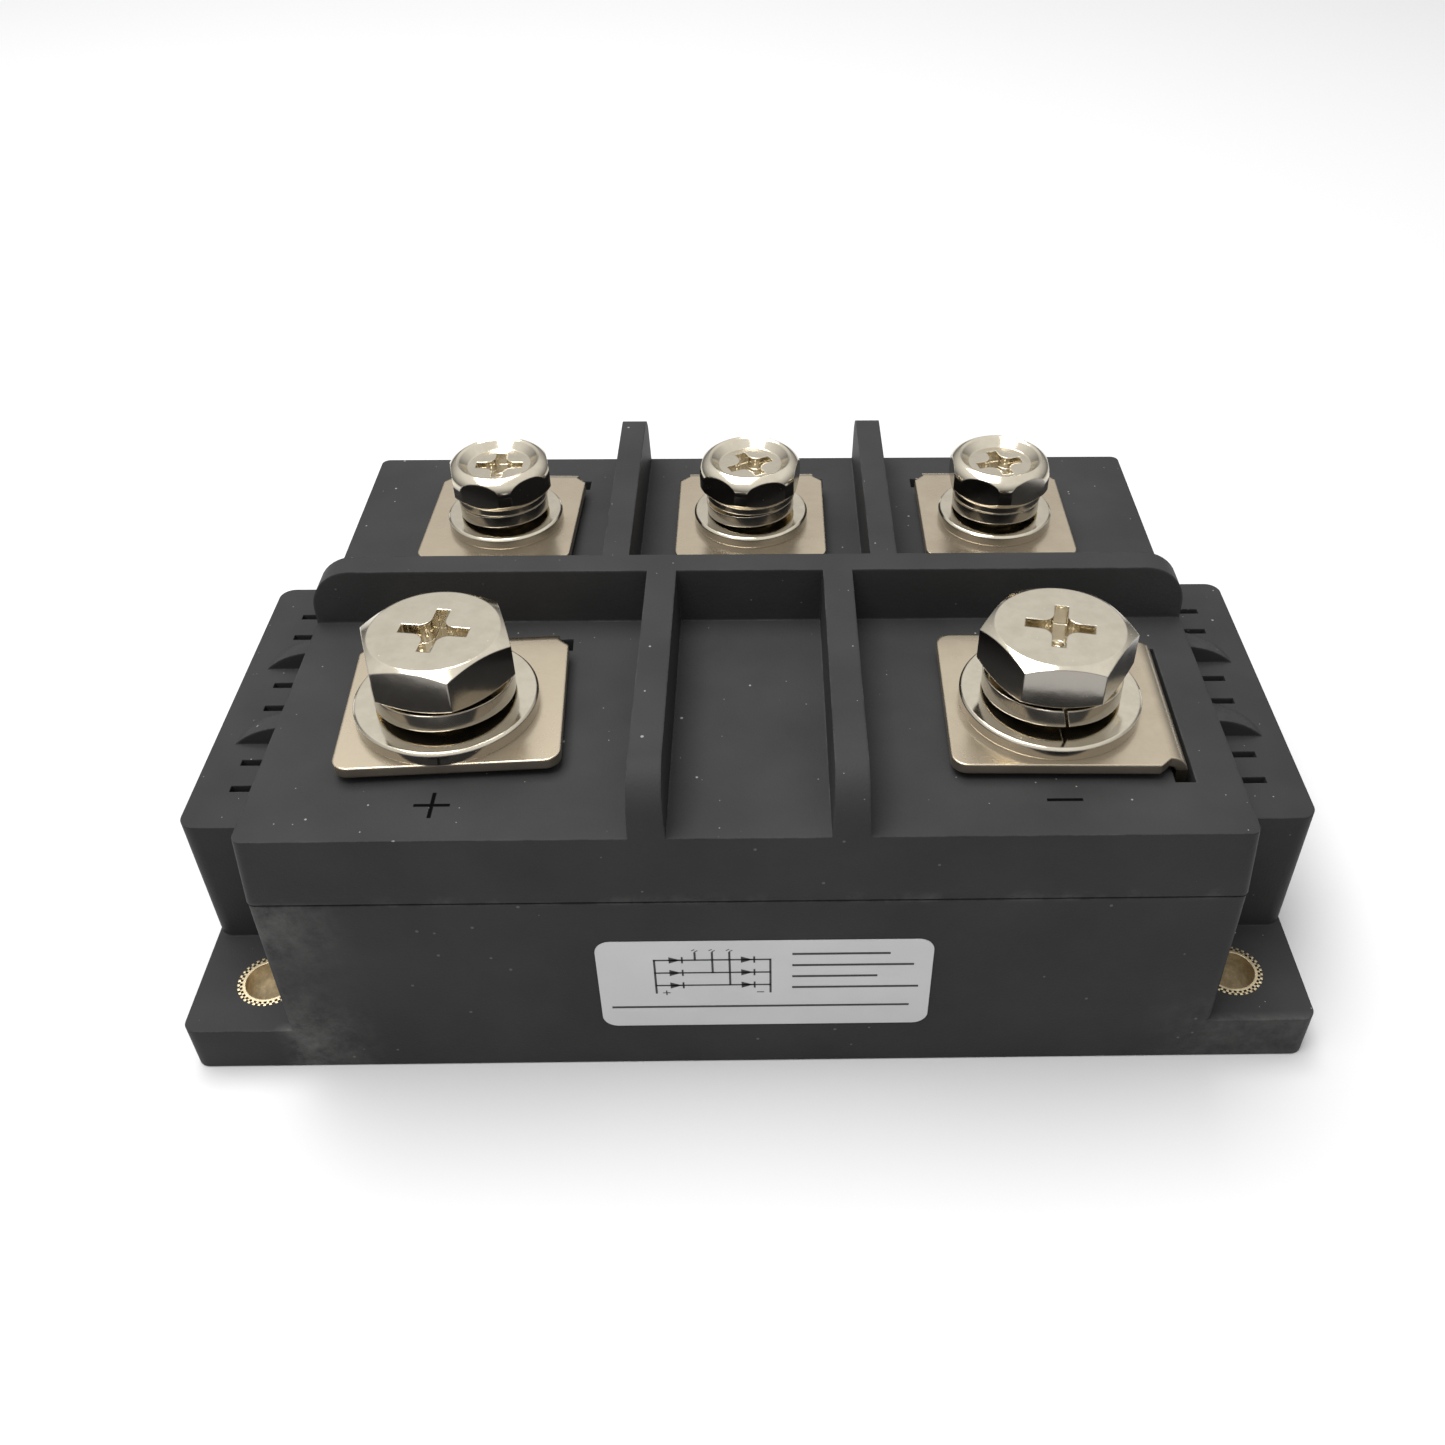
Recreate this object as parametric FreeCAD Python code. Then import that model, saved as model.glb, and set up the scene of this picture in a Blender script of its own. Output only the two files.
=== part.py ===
import FreeCAD, Part
import math
import os

# Three phase bridge rectifier module with five screw terminals, in millimetres.
# X runs along the module, Y from its front face to its back face, Z up.
# The origin is under the middle of the module, on the plane that it stands on.

# Housing: a moulded tub with a mounting flange and a wing at each end
housing_length = 152.0
housing_depth = 88.1
flange_height = 7.5
flange_corner = 1.8
wing_height = 29.0
wing_corner = 2.2
wing_length = 14.2
body_end_taper = 0.4
body_corner = 1.2
seam_height = 32.3
seam_groove = 0.35
lid_gap = 0.1
body_wall = 4.0
wing_wall = 3.0
wing_floor = 8.0

# Pairs of slots in the top of each wing, with a domed stop between neighbouring pairs
slot_pairs = 3
slot_end_room = 10.2
slot_spacing = 5.3
slot_length = 6.0
slot_width = 1.25
slot_from_end = 8.0
stop_radius = 7.8
stop_height = 3.1
stop_from_end = 10.8
stop_past_pair = 6.5

# Cover: a lid with barrier ribs, a lip inside the tub and a pocket for each nut
cover_height = 10.8
cover_roof = 3.5
cover_overhang = 0.1
cover_end_taper = 0.9
cover_corner = 1.2
lip_depth = 2.0
lip_wall = 2.0
lip_clearance = 0.15
rib_height = 8.3
rib_draft = 0.25
cross_rib_y = 1.2
cross_rib_thickness = 3.9
cross_rib_round = 6.0
front_rib_x = 12.05
front_rib_thickness = 4.0
front_rib_round = 5.5
rear_rib_x = 18.65
rear_rib_thickness = 3.7
rear_rib_round = 3.5

# Mounting bushes in the four ears of the flange, and the room between a bush's middle and the wing
mount_from_end = 9.5
mount_from_side = 8.55
ear_room = 8.2
bush_radius = 4.0
bush_bore_radius = 3.25
bush_stand_out = 0.1
bush_fit = 0.02

# Base plate, let into the underside of the tub
base_thickness = 4.0
base_ledge = 1.5
base_corner = 3.0
base_fit = 0.1

# Circuit: a ceramic tile for each phase, with two diodes on it
tile_end_room = 3.05
tile_width = 34.0
tile_ceramic = 0.8
tile_copper = 0.4
tile_border = 1.5
lower_disc_radius = 7.5
lower_disc_height = 1.2
silicon_radius = 7.0
silicon_height = 0.5
upper_disc_radius = 6.0
upper_disc_height = 2.1
upper_diode_y = 4.0
busbar_width = 12.0
busbar_thickness = 2.0
busbar_reach = 8.0
potting_level = 22.0

# Terminal straps
strap_thickness = 1.4
strap_bend = 1.0
strap_lift = 1.1
strap_corner = 2.0
strap_relief = 1.4
strap_neck = 10.0
strap_foot = 12.0
leg_slot_side = 1.7
leg_slot_outside = 0.8
leg_slot_inside = 0.4
plus_strap_width = 27.6
minus_strap_width = 26.3
ac_strap_width = 22.2

# Direct current terminals
dc_terminal_x = 38.4
dc_terminal_inset = 21.95
plus_free_reach = 11.5
plus_leg_to_rib = 6.05
plus_side_shift = 0.85
plus_turn = 3.3
plus_foot_reach = 14.0
minus_free_reach = 13.4
minus_leg_reach = 15.9
minus_side_shift = 0.7
minus_turn = -1.0
minus_foot_reach = 11.0

# Alternating current terminals
ac_terminal_pitch = 37.0
ac_terminal_inset = 22.05
ac_free_reach = 10.9
ac_leg_reach = 14.4
ac_foot_reach = 12.0
ac_left_turn = -1.4
ac_left_side_shift = 0.5

# Screws of the direct current terminals
dc_thread_radius = 4.9
dc_screw_length = 20.0
dc_head_flats = 17.0
dc_head_height = 6.3
dc_washer_radius = 11.6
dc_washer_bore = 5.3
dc_washer_thickness = 1.8
dc_spring_radius = 8.85
dc_spring_bore = 5.3
dc_spring_thickness = 2.3
dc_spring_rise = 1.2
dc_nut_flats = 16.0
dc_nut_height = 8.0
dc_cross_reach = 4.3
dc_cross_width = 1.7
dc_cross_depth = 2.8

# Screws of the alternating current terminals
ac_thread_radius = 3.9
ac_screw_length = 18.0
ac_head_flats = 14.0
ac_head_height = 6.0
ac_head_corner_radius = 7.6
ac_head_shoulder = 3.4
ac_head_rim_radius = 6.0
ac_head_dish_radius = 4.6
ac_head_dish_depth = 1.2
ac_collar_radius = 6.6
ac_collar_height = 1.0
ac_collar_slope = 1.0
ac_washer_radius = 8.5
ac_washer_bore = 4.3
ac_washer_thickness = 1.6
ac_spring_radius = 6.5
ac_spring_bore = 4.3
ac_spring_thickness = 1.7
ac_spring_rise = 0.9
ac_nut_flats = 13.0
ac_nut_height = 6.5
ac_cross_reach = 3.4
ac_cross_width = 1.6
ac_cross_depth = 1.8

# Fits shared by the screws, nuts and washers
thread_clearance = 0.05
nut_pocket_clearance = 0.15
nut_sink = 0.1
strap_hole_clearance = 0.4
shank_hole_clearance = 0.5
shank_tip_room = 0.9
boss_wall = 3.0
boss_floor = 2.0
head_clearance = 0.2
spring_split = 0.4
spring_split_slant = 12.0
cross_fillet_share = 0.9
washer_chamfer = 0.3
shank_chamfer = 0.8

# Rating label on the front face
label_length = 43.0
label_height = 16.8
label_thickness = 0.15
label_corner = 2.0
label_middle_x = 1.7
label_middle_z = 16.5

# Levels and half sizes that follow from the sizes above
half_length = housing_length / 2
half_depth = housing_depth / 2
body_half = half_length - wing_length
rim_half = body_half - body_end_taper
cover_top = seam_height + cover_height
roof_underside = cover_top - cover_roof
cavity_x = rim_half - body_wall
cavity_y = half_depth - body_wall
mount_x = half_length - mount_from_end
mount_y = half_depth - mount_from_side
wing_half = mount_y - ear_room
slot_pair_pitch = 2 * (wing_half - slot_end_room) / (slot_pairs - 1)
slot_middle_x = half_length - slot_from_end
stop_x = half_length - stop_from_end
tile_length = 2 * (cavity_y - tile_end_room)
tile_top = base_thickness + tile_ceramic + tile_copper
diode_top = tile_top + lower_disc_height + silicon_height + upper_disc_height
busbar_top = diode_top + busbar_thickness
strap_underside = cover_top + strap_lift
strap_top = strap_underside + strap_thickness
nut_top = cover_top - nut_sink
cover_half_x = rim_half + cover_overhang - cover_end_taper
phase_x = {"left": -ac_terminal_pitch, "middle": 0.0, "right": ac_terminal_pitch}
dc_terminal_y = dc_terminal_inset - half_depth
ac_terminal_y = half_depth - ac_terminal_inset
plus_leg_reach = cross_rib_y - cross_rib_thickness / 2 - plus_leg_to_rib - dc_terminal_y
lower_diode_y = dc_terminal_y

os.makedirs("parts", exist_ok=True)


def vec(x, y, z):
    return FreeCAD.Vector(x, y, z)


def block(x0, x1, y0, y1, z0, z1):
    return Part.makeBox(x1 - x0, y1 - y0, z1 - z0, vec(x0, y0, z0))


def post(radius, x, y, z0, z1):
    return Part.makeCylinder(radius, z1 - z0, vec(x, y, z0))


def outline(half_x, half_y, corner, z):
    """Closed wire of a rectangle with round corners, centred on the Z axis."""
    edges = []
    for turn, (sx, sy) in enumerate([(1, 1), (-1, 1), (-1, -1), (1, -1)]):
        middle = vec(sx * (half_x - corner), sy * (half_y - corner), z)
        start = math.radians(90 * turn)
        arc_points = []
        for angle in (start, start + math.pi / 4, start + math.pi / 2):
            arc_points.append(middle + vec(corner * math.cos(angle), corner * math.sin(angle), 0))
        if edges:
            edges.append(Part.makeLine(edges[-1].Vertexes[-1].Point, arc_points[0]))
        edges.append(Part.Arc(*arc_points).toShape())
    edges.append(Part.makeLine(edges[-1].Vertexes[-1].Point, edges[0].Vertexes[0].Point))
    return Part.Wire(edges)


def slab(half_x, half_y, corner, z0, z1):
    return Part.Face(outline(half_x, half_y, corner, z0)).extrude(vec(0, 0, z1 - z0))


def tapered(bottom, top, corner, z0, z1):
    return Part.makeLoft([outline(*bottom, corner, z0), outline(*top, corner, z1)], True, True)


def hexagon(flats, z0, z1, turn=0.0):
    corner = flats / math.sqrt(3)
    points = []
    for k in range(7):
        angle = math.radians(60 * k + turn)
        points.append(vec(corner * math.cos(angle), corner * math.sin(angle), z0))
    return Part.Face(Part.makePolygon(points)).extrude(vec(0, 0, z1 - z0))


def turned(profile):
    """Solid of revolution about Z from (radius, height) pairs; a pair of pairs is an arc's middle and end."""
    edges = []
    here = vec(profile[0][0], 0, profile[0][1])
    for step in profile[1:] + [profile[0]]:
        if isinstance(step[0], tuple):
            middle = vec(step[0][0], 0, step[0][1])
            there = vec(step[1][0], 0, step[1][1])
            edges.append(Part.Arc(here, middle, there).toShape())
        else:
            there = vec(step[0], 0, step[1])
            edges.append(Part.makeLine(here, there))
        here = there
    return Part.Face(Part.Wire(edges)).revolve(vec(0, 0, 0), vec(0, 0, 1), 360)


def placed(shape, x, y, z=0.0, turn=0.0):
    moved = shape.copy()
    moved.rotate(vec(0, 0, 0), vec(0, 0, 1), turn)
    moved.translate(vec(x, y, z))
    return moved


def save(name, shape):
    shape.exportStep("parts/" + name + ".step")
    print(name, len(shape.Solids), shape.isValid(), round(shape.Volume, 1))


# Moulded tub

def wing_slots(side):
    slots = []
    for pair in range(slot_pairs):
        middle_y = (pair - (slot_pairs - 1) / 2) * slot_pair_pitch
        for y in (middle_y - slot_spacing / 2, middle_y + slot_spacing / 2):
            x = side * slot_middle_x
            slots.append(block(x - slot_length / 2, x + slot_length / 2, y - slot_width / 2,
                               y + slot_width / 2, wing_height - 2 * wing_wall, wing_height + 1))
    return slots


def wing_stops(side):
    """Half of a low dome between pairs of slots: flat towards the front, sloping to the back."""
    sphere_radius = (stop_radius ** 2 + stop_height ** 2) / (2 * stop_height)
    stops = []
    for pair in range(slot_pairs - 1):
        front = (pair - (slot_pairs - 1) / 2) * slot_pair_pitch + stop_past_pair
        centre = vec(side * stop_x, front, wing_height + stop_height - sphere_radius)
        dome = Part.makeSphere(sphere_radius, centre)
        room = block(side * stop_x - stop_radius, side * stop_x + stop_radius, front,
                     front + stop_radius, wing_height - wing_wall / 2, wing_height + stop_height)
        stops.append(dome.common(room))
    return stops


def make_housing():
    flange = slab(half_length, half_depth, flange_corner, 0, flange_height)
    wings = slab(half_length, wing_half, wing_corner, 0, wing_height)
    body = tapered((body_half, half_depth), (rim_half, half_depth), body_corner,
                   flange_height, seam_height - seam_groove)
    rim = slab(rim_half - seam_groove, half_depth - seam_groove, body_corner,
               seam_height - seam_groove, seam_height)
    shell = flange.fuse([wings, body, rim] + wing_stops(-1) + wing_stops(1)).removeSplitter()
    cavity = slab(cavity_x, cavity_y, body_corner, base_thickness, seam_height)
    wing_room = slab(half_length - wing_wall, wing_half - wing_wall, wing_corner,
                     wing_floor, wing_height - wing_wall)
    lid_end = rim_half + cover_overhang + lid_gap
    lid_room = block(-lid_end, lid_end, -half_depth, half_depth, seam_height, cover_top)
    rebate = slab(cavity_x + base_ledge + base_fit, cavity_y + base_ledge + base_fit,
                  base_corner + base_fit, 0, base_thickness)
    cuts = [cavity, wing_room, lid_room, rebate] + wing_slots(-1) + wing_slots(1)
    for x, y in mount_places():
        cuts.append(post(bush_radius + bush_fit, x, y, -1, flange_height + 1))
    return shell.cut(cuts)


def mount_places():
    return [(sx * mount_x, sy * mount_y) for sy in (-1, 1) for sx in (-1, 1)]


def make_bush(x, y):
    top = flange_height + bush_stand_out
    return post(bush_radius, x, y, 0, top).cut(post(bush_bore_radius, x, y, -1, top + 1))


def make_base_plate():
    return slab(cavity_x + base_ledge, cavity_y + base_ledge, base_corner, 0, base_thickness)


# Lid

def barrier(length_low, length_high, place, thickness, round_low, round_high, along_x):
    """A rib that stands on the cover, thicker at its foot, with round top corners at its ends."""
    top = cover_top + rib_height
    foot = thickness / 2 + rib_draft
    crest = thickness / 2

    def point(along, across, z):
        return vec(along, across, z) if along_x else vec(across, along, z)

    section = []
    for across, z in ((-foot, cover_top - 1), (foot, cover_top - 1), (foot, cover_top),
                      (crest, top), (-crest, top), (-foot, cover_top), (-foot, cover_top - 1)):
        section.append(point(length_low, place + across, z))
    run = point(length_high, 0, 0) - point(length_low, 0, 0)
    bar = Part.Face(Part.makePolygon(section)).extrude(run)

    half = math.sqrt(0.5)
    side = []
    across = place - thickness

    def line(a, b):
        side.append(Part.makeLine(point(a[0], across, a[1]), point(b[0], across, b[1])))

    low_foot = (length_low, cover_top - 1)
    high_foot = (length_high, cover_top - 1)
    low_end = (length_low, top - round_low)
    high_end = (length_high, top - round_high)
    line(low_foot, high_foot)
    if round_high:
        high_top = (length_high - round_high, top)
        middle = (length_high - round_high * (1 - half), top - round_high * (1 - half))
        line(high_foot, high_end)
        side.append(Part.Arc(point(high_end[0], across, high_end[1]), point(middle[0], across, middle[1]),
                             point(high_top[0], across, high_top[1])).toShape())
    else:
        high_top = (length_high, top)
        line(high_foot, high_top)
    if round_low:
        low_top = (length_low + round_low, top)
        middle = (length_low + round_low * (1 - half), top - round_low * (1 - half))
        line(high_top, low_top)
        side.append(Part.Arc(point(low_top[0], across, low_top[1]), point(middle[0], across, middle[1]),
                             point(low_end[0], across, low_end[1])).toShape())
        line(low_end, low_foot)
    else:
        low_top = (length_low, top)
        line(high_top, low_top)
        line(low_top, low_foot)
    plate = Part.Face(Part.Wire(Part.__sortEdges__(side))).extrude(point(0, 2 * thickness, 0))
    return bar.common(plate)


def barrier_ribs():
    ribs = [barrier(-cover_half_x, cover_half_x, cross_rib_y, cross_rib_thickness,
                    cross_rib_round, cross_rib_round, True)]
    for side in (-1, 1):
        ribs.append(barrier(-half_depth, cross_rib_y, side * front_rib_x, front_rib_thickness,
                            front_rib_round, 0, False))
        ribs.append(barrier(cross_rib_y, half_depth, side * rear_rib_x, rear_rib_thickness,
                            0, rear_rib_round, False))
    return ribs


def leg_slot(terminal):
    """The opening in the roof that a strap's leg goes through, a little larger than the leg."""
    inner = terminal["leg_reach"] - strap_thickness - leg_slot_inside
    outer = terminal["leg_reach"] + leg_slot_outside
    half = terminal["width"] / 2 - strap_relief + leg_slot_side
    shift = terminal["shift"]
    slot = block(inner, outer, shift - half, shift + half, roof_underside - 1, cover_top + 1)
    return placed(slot, terminal["x"], terminal["y"], 0, terminal["heading"])


def make_cover():
    roof = tapered((rim_half + cover_overhang, half_depth), (cover_half_x, half_depth),
                   cover_corner, seam_height, cover_top)
    lip = slab(cavity_x - lip_clearance, cavity_y - lip_clearance, body_corner,
               seam_height - lip_depth, seam_height)
    hollow = slab(cavity_x - lip_clearance - lip_wall, cavity_y - lip_clearance - lip_wall, body_corner,
                  seam_height - lip_depth - 1, roof_underside)
    lid = roof.fuse([lip] + barrier_ribs()).removeSplitter().cut(hollow)
    bosses = []
    cuts = []
    for terminal in terminals.values():
        screw = terminal["screw"]
        x, y = terminal["x"], terminal["y"]
        tip = screw["seat"] - screw["length"]
        boss_radius = screw["nut_flats"] / math.sqrt(3) + boss_wall
        bosses.append(post(boss_radius, x, y, tip - shank_tip_room - boss_floor, cover_top - cover_roof / 2))
        pocket = hexagon(screw["nut_flats"] + 2 * nut_pocket_clearance, nut_top - screw["nut_height"],
                         cover_top + 1, screw["nut_turn"])
        cuts.append(placed(pocket, x, y))
        cuts.append(post(screw["thread"] + shank_hole_clearance, x, y, tip - shank_tip_room, cover_top))
        cuts.append(leg_slot(terminal))
    return lid.fuse(bosses).removeSplitter().cut(cuts)


# Circuit on the base plate

def make_tile(x):
    ceramic = block(x - tile_width / 2, x + tile_width / 2, -tile_length / 2, tile_length / 2,
                    base_thickness, base_thickness + tile_ceramic)
    copper_x = tile_width / 2 - tile_border
    copper_y = tile_length / 2 - tile_border
    copper = block(x - copper_x, x + copper_x, -copper_y, copper_y,
                   base_thickness + tile_ceramic, tile_top)
    return ceramic.fuse(copper)


def make_diode(x, y):
    silicon_bottom = tile_top + lower_disc_height
    silicon_top = silicon_bottom + silicon_height
    stack = turned([(0, tile_top), (lower_disc_radius, tile_top), (lower_disc_radius, silicon_bottom),
                    (silicon_radius, silicon_bottom), (silicon_radius, silicon_top),
                    (upper_disc_radius, silicon_top), (upper_disc_radius, diode_top), (0, diode_top)])
    return placed(stack, x, y)


def make_busbar(y):
    reach = ac_terminal_pitch + busbar_reach
    return block(-reach, reach, y - busbar_width / 2, y + busbar_width / 2, diode_top, busbar_top)


# Terminal straps, each bent from one strip. The leg goes down on the +X side before the strap is turned.

def bend(middle_x, middle_z, start, low_y, high_y):
    """Quarter of a bent strip about a line along Y, from the start angle on by 90 degrees."""
    inner = strap_bend
    outer = strap_bend + strap_thickness
    angles = [math.radians(start + 45 * k) for k in range(3)]
    outer_points = [vec(middle_x + outer * math.cos(a), low_y, middle_z + outer * math.sin(a)) for a in angles]
    inner_points = [vec(middle_x + inner * math.cos(a), low_y, middle_z + inner * math.sin(a)) for a in angles]
    wire = Part.Wire([Part.Arc(*outer_points).toShape(),
                      Part.makeLine(outer_points[2], inner_points[2]),
                      Part.Arc(*reversed(inner_points)).toShape(),
                      Part.makeLine(inner_points[0], outer_points[0])])
    return Part.Face(wire).extrude(vec(0, high_y - low_y, 0))


def corner_cut(x, y, inward):
    """The corner that the plate loses where it narrows to the bend."""
    points = [vec(x - strap_relief, y, strap_underside), vec(x, y, strap_underside),
              vec(x, y + inward * strap_relief, strap_underside)]
    return Part.Face(Part.makePolygon(points + points[:1])).extrude(vec(0, 0, strap_thickness))


def make_strap(terminal):
    free, leg_face = terminal["free_reach"], terminal["leg_reach"]
    half = terminal["width"] / 2
    shift = terminal["shift"]
    low, high = shift - half, shift + half
    turn_out = strap_bend + strap_thickness
    bend_x = leg_face - turn_out
    leg_inner = leg_face - strap_thickness
    plate = slab((free + bend_x) / 2 + strap_corner, half, strap_corner, strap_underside, strap_top)
    plate.translate(vec((bend_x - free) / 2 + strap_corner, shift, 0))
    plate = plate.common(block(-free - 1, bend_x, low - 1, high + 1, strap_underside, strap_top))
    corners = [corner_cut(bend_x, low, 1), corner_cut(bend_x, high, -1)]
    low_neck, high_neck = low + strap_relief, high - strap_relief
    top_bend = bend(bend_x, strap_underside - strap_bend, 0, low_neck, high_neck)
    neck_bottom = roof_underside - strap_neck
    neck = block(leg_inner, leg_face, low_neck, high_neck, neck_bottom, strap_underside - strap_bend)
    foot_low, foot_high = terminal["foot_y"] - strap_foot / 2, terminal["foot_y"] + strap_foot / 2
    foot_bottom = terminal["foot_level"]
    foot_top = foot_bottom + strap_thickness
    leg = block(leg_inner, leg_face, foot_low, foot_high, foot_top + strap_bend, neck_bottom)
    if terminal["foot_outward"]:
        foot_x = leg_face + strap_bend
        low_bend = bend(foot_x, foot_top + strap_bend, 180, foot_low, foot_high)
        foot = block(foot_x, leg_inner + terminal["foot_reach"], foot_low, foot_high, foot_bottom, foot_top)
    else:
        foot_x = leg_inner - strap_bend
        low_bend = bend(foot_x, foot_top + strap_bend, 270, foot_low, foot_high)
        foot = block(leg_face - terminal["foot_reach"], foot_x, foot_low, foot_high, foot_bottom, foot_top)
    hole = post(terminal["screw"]["thread"] + strap_hole_clearance, 0, 0, strap_underside - 1, strap_top + 1)
    strap = plate.cut(corners).fuse([top_bend, neck, leg, low_bend, foot]).removeSplitter().cut(hole)
    return placed(strap, terminal["x"], terminal["y"], 0, terminal["heading"])


def make_potting(inside):
    main = slab(cavity_x, cavity_y, body_corner, base_thickness, potting_level)
    wing_part = slab(half_length - wing_wall, wing_half - wing_wall, wing_corner,
                     wing_floor, potting_level)
    return main.fuse(wing_part).removeSplitter().cut(inside)


# Screws, washers and nuts

def cross_recess(reach, width, depth, top):
    """A cross with rounded inner corners, cut down from the top, with a deeper middle."""
    arm = width / 2
    fillet = width * cross_fillet_share
    half = math.sqrt(0.5)
    edges = []
    first = vec(reach, -arm, top)
    here = first
    for quarter in range(4):
        spin = FreeCAD.Rotation(vec(0, 0, 1), 90 * quarter)
        tip = spin.multVec(vec(reach, arm, top))
        inner_start = spin.multVec(vec(arm + fillet, arm, top))
        inner_middle = spin.multVec(vec(arm + fillet * (1 - half), arm + fillet * (1 - half), top))
        inner_end = spin.multVec(vec(arm, arm + fillet, top))
        following = spin.multVec(vec(arm, reach, top))
        edges.append(Part.makeLine(here, tip))
        edges.append(Part.makeLine(tip, inner_start))
        edges.append(Part.Arc(inner_start, inner_middle, inner_end).toShape())
        edges.append(Part.makeLine(inner_end, following))
        here = following
    cross = Part.Face(Part.Wire(edges)).extrude(vec(0, 0, -depth))
    pit = Part.makeCone(width * 0.3, width * 1.1, depth * 1.25, vec(0, 0, top - depth * 1.25))
    lid = post(reach, 0, 0, top, top + 1)
    return cross.fuse(pit).cut(lid)


def shank(screw):
    radius, length = screw["thread"], screw["length"]
    return turned([(0, 1), (radius, 1), (radius, -length + shank_chamfer),
                   (radius - shank_chamfer, -length), (0, -length)])


def make_dc_screw(cross_turn):
    """Flat hexagon head, chamfered round its top, with a cross recess. Z is 0 under the head."""
    corner = dc_head_flats / math.sqrt(3) + 0.01
    crown = 0.95 * dc_head_flats / 2
    drop = (corner - crown) * math.tan(math.radians(30))
    envelope = turned([(0, 0), (crown, 0), (corner, drop), (corner, dc_head_height - drop),
                       (crown, dc_head_height), (0, dc_head_height)])
    head = hexagon(dc_head_flats, 0, dc_head_height).common(envelope)
    recess = cross_recess(dc_cross_reach, dc_cross_width, dc_cross_depth, dc_head_height)
    recess = placed(recess, 0, 0, 0, cross_turn)
    return head.fuse(shank(dc_screw)).removeSplitter().cut(recess)


def make_ac_screw(cross_turn):
    """Hexagon head with rounded corners and rim, a dished top, a cross recess and a round collar."""
    corner = ac_head_corner_radius
    collar = ac_collar_radius
    shoulder = ac_head_shoulder
    rim = ac_head_rim_radius
    dish = ac_head_dish_radius
    dish_floor = ac_head_height - ac_head_dish_depth
    over = (rim + 0.72 * (corner - rim), ac_head_height - 0.30 * (ac_head_height - shoulder))
    roll = (rim - 0.25 * (rim - dish), ac_head_height - 0.12 * ac_head_dish_depth)
    envelope = turned([(0, 0), (collar, 0), (collar, ac_collar_height),
                       (corner, ac_collar_height + ac_collar_slope), (corner, shoulder),
                       (over, (rim, ac_head_height)), roll, (dish, dish_floor), (0, dish_floor)])
    head = hexagon(ac_head_flats, 0, ac_head_height).common(envelope)
    recess = cross_recess(ac_cross_reach, ac_cross_width, ac_cross_depth, dish_floor)
    recess = placed(recess, 0, 0, 0, cross_turn)
    return head.fuse(shank(ac_screw)).removeSplitter().cut(recess)


def make_flat_washer(radius, bore, thickness):
    edge = washer_chamfer
    return turned([(bore, 0), (radius, 0), (radius, thickness - edge), (radius - edge, thickness),
                   (bore, thickness)])


def make_spring_washer(radius, bore, thickness, rise, split_turn, raised_turn):
    """A ring with a narrow slanting split, which leans so that one side stands up by the rise."""
    ring = post(radius, 0, 0, 0, thickness).cut(post(bore, 0, 0, -1, thickness + 1))
    split = block(0, radius + 1, -spring_split / 2, spring_split / 2, -thickness, 2 * thickness)
    split.rotate(vec(0, 0, thickness / 2), vec(1, 0, 0), spring_split_slant)
    ring = ring.cut(placed(split, 0, 0, 0, split_turn - raised_turn))
    lean = math.degrees(math.asin(rise / (2 * radius)))
    ring.rotate(vec(-radius, 0, 0), vec(0, 1, 0), -lean)
    return placed(ring, 0, 0, 0, raised_turn)


def make_nut(flats, height, bore):
    corner = flats / math.sqrt(3) + 0.01
    crown = 0.95 * flats / 2
    drop = (corner - crown) * math.tan(math.radians(30))
    envelope = turned([(0, 0), (crown, 0), (corner, drop), (corner, height - drop), (crown, height), (0, height)])
    return hexagon(flats, 0, height).common(envelope).cut(post(bore, 0, 0, -1, height + 1))


# Rating label

def make_label():
    plate = Part.Face(outline(label_length / 2, label_height / 2, label_corner, 0))
    plate = plate.extrude(vec(0, 0, label_thickness))
    plate.rotate(vec(0, 0, 0), vec(1, 0, 0), 90)
    plate.translate(vec(label_middle_x, -half_depth, label_middle_z))
    return plate


# What each kind of terminal screw needs
dc_screw = {
    "thread": dc_thread_radius,
    "length": dc_screw_length,
    "nut_flats": dc_nut_flats,
    "nut_height": dc_nut_height,
    "nut_turn": 0.0,
    "washer_seat": strap_top,
    "spring_seat": strap_top + dc_washer_thickness,
    "seat": strap_top + dc_washer_thickness + dc_spring_thickness + dc_spring_rise + head_clearance,
}
ac_screw = {
    "thread": ac_thread_radius,
    "length": ac_screw_length,
    "nut_flats": ac_nut_flats,
    "nut_height": ac_nut_height,
    "nut_turn": 0.0,
    "washer_seat": strap_top,
    "spring_seat": strap_top + ac_washer_thickness,
    "seat": strap_top + ac_washer_thickness + ac_spring_thickness + ac_spring_rise + head_clearance,
}

# Where each terminal stands, which way its leg goes down, and how its screw and split washer are turned
terminals = {
    "plus": {"x": -dc_terminal_x, "y": dc_terminal_y, "heading": 90 + plus_turn, "screw": dc_screw,
             "free_reach": plus_free_reach, "leg_reach": plus_leg_reach, "width": plus_strap_width,
             "shift": -plus_side_shift, "foot_y": 0.0, "foot_level": busbar_top,
             "foot_reach": plus_foot_reach, "foot_outward": True,
             "head_turn": -12.0, "cross_turn": -7.0, "split_turn": 70.0, "raised_turn": -90.0},
    "minus": {"x": dc_terminal_x, "y": dc_terminal_y, "heading": minus_turn, "screw": dc_screw,
              "free_reach": minus_free_reach, "leg_reach": minus_leg_reach, "width": minus_strap_width,
              "shift": minus_side_shift, "foot_y": 0.0, "foot_level": busbar_top,
              "foot_reach": minus_foot_reach, "foot_outward": False,
              "head_turn": -4.0, "cross_turn": -12.0, "split_turn": -88.0, "raised_turn": -90.0},
}
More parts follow.
